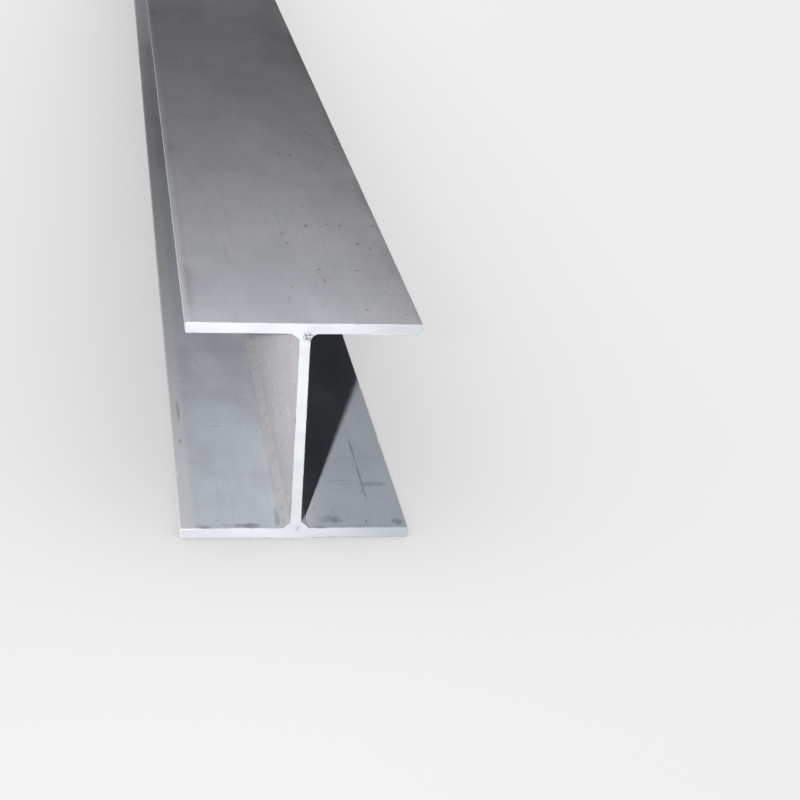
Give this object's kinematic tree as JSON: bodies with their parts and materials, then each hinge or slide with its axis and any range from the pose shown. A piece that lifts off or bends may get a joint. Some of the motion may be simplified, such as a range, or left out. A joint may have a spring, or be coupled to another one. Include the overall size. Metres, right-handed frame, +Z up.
{
  "type": "steel h-beam",
  "caption": "Wide-flange steel H-beam with a square section, welded from flange and web plates with fillet welds along every corner, in a stock length with plain square-cut ends.",
  "frame": {"origin": "under the middle of the bottom flange, on the surface that the beam lies on", "axes": "+X across the flanges, +Y along the beam away from the end that the picture shows, +Z up along the web"},
  "size_m": [0.15, 6, 0.15],
  "materials": {
    "pickled_plate": "hot-rolled plate, annealed and pickled to a dull silver grey",
    "weld_metal": "as-welded fillet bead, pickled"
  },
  "bodies": {
    "root": {"bottom_flange_plate": "pickled_plate", "web_plate": "pickled_plate", "top_flange_plate": "pickled_plate", "bottom_left_weld": "weld_metal", "bottom_right_weld": "weld_metal", "top_left_weld": "weld_metal", "top_right_weld": "weld_metal"}
  },
  "joints": []
}
